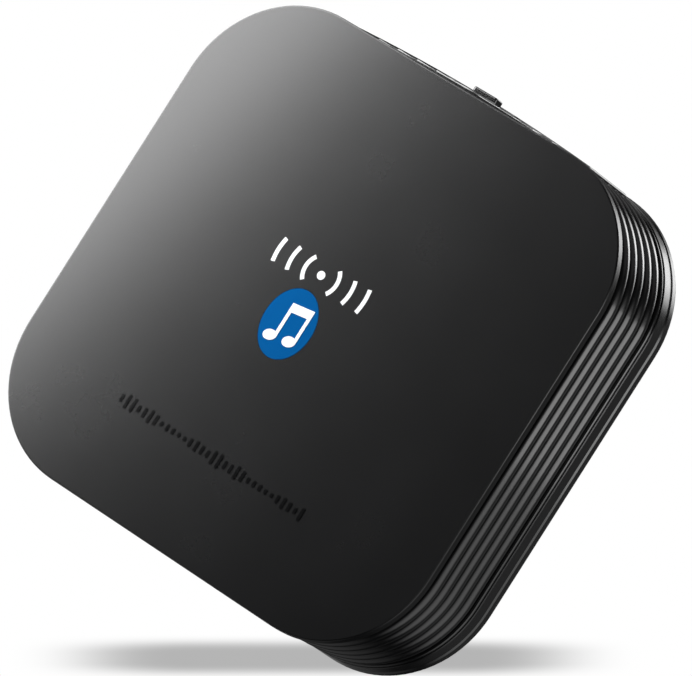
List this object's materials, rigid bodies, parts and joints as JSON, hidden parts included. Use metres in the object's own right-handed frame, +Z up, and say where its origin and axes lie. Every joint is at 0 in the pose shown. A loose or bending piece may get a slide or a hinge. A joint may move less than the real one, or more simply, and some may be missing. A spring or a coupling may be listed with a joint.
{
  "type": "audio receiver",
  "caption": "Pocket radio audio receiver: a rounded-square puck with a matte top, ribbed gloss sides, a rear panel with an audio socket, a power socket and a pairing button.",
  "frame": {"origin": "centre of the resting face, on the table", "axes": "+Z up, +Y out of the rear panel with its sockets and button, +X to the right when the front edge faces the viewer"},
  "size_m": [0.065, 0.0665, 0.0183],
  "materials": {
    "cover_black": "soft-touch matte black moulding",
    "gloss_black": "polished black moulding",
    "pad_rubber": "fine-grained non-slip rubber",
    "adhesive": "clear-amber adhesive film",
    "badge_blue": "satin blue inlay",
    "print_white": "white pad print",
    "print_black": "raised gloss black print",
    "steel": "zinc-plated steel",
    "bright_tin": "bright tin or nickel plate",
    "board_green": "green solder mask over glass fibre",
    "chip_black": "moulded epoxy",
    "dark_plastic": "heat-resistant black plastic",
    "contact_gold": "thin gold plate on copper alloy",
    "clear_plastic": "clear acrylic",
    "lamp_white": "white lamp body with a clear face",
    "aluminium_can": "bare aluminium can with a printed stripe",
    "ferrite": "grey ferrite sheet",
    "film_amber": "amber polyimide film",
    "ceramic_tan": "fired ceramic with tinned ends",
    "resistor_black": "thick-film body with tinned ends",
    "copper": "bare copper track"
  },
  "bodies": {
    "housing": {"top_cover": "cover_black", "ribbed_frame": "gloss_black", "rear_panel": "gloss_black", "bottom_case": "gloss_black", "base_pad": "pad_rubber", "pad_adhesive": "adhesive", "case_screws": "steel", "board_screws": "steel", "badge_plate": "badge_blue", "badge_note": "print_white", "touch_mark": "print_white", "level_bars": "print_black", "switch_body": "dark_plastic", "switch_cover": "bright_tin", "switch_dome": "steel", "light_guide": "clear_plastic", "status_led": "lamp_white", "main_board": "board_green", "jack_housing": "dark_plastic", "jack_barrel": "bright_tin", "jack_contacts": "contact_gold", "power_shell": "bright_tin", "power_tongue": "dark_plastic", "power_contacts": "contact_gold", "radio_board": "board_green", "radio_shield": "bright_tin", "radio_antenna": "copper", "audio_chip": "chip_black", "tag_chip": "chip_black", "regulator": "chip_black", "clock_crystal": "bright_tin", "power_inductor": "ferrite", "capacitor_cans": "aluminium_can", "capacitor_bases": "dark_plastic", "ceramic_capacitors": "ceramic_tan", "resistors": "resistor_black", "touch_coil_film": "film_amber", "touch_coil": "copper", "ferrite_sheet": "ferrite", "film_connector": "dark_plastic"},
    "button": {"pairing_button": "gloss_black"},
    "plunger": {"switch_plunger": "dark_plastic"}
  },
  "joints": [
    {"name": "button_slide", "type": "slide", "parent": "housing", "child": "button", "axis": [0, -1, 0], "range_m": [0, 0.0003]},
    {"name": "plunger_slide", "type": "slide", "parent": "housing", "child": "plunger", "axis": [0, -1, 0], "range_m": [0, 0.0003]}
  ],
  "couplings": [
    {"joint": "plunger_slide", "follows": "button_slide", "ratio": 1}
  ]
}
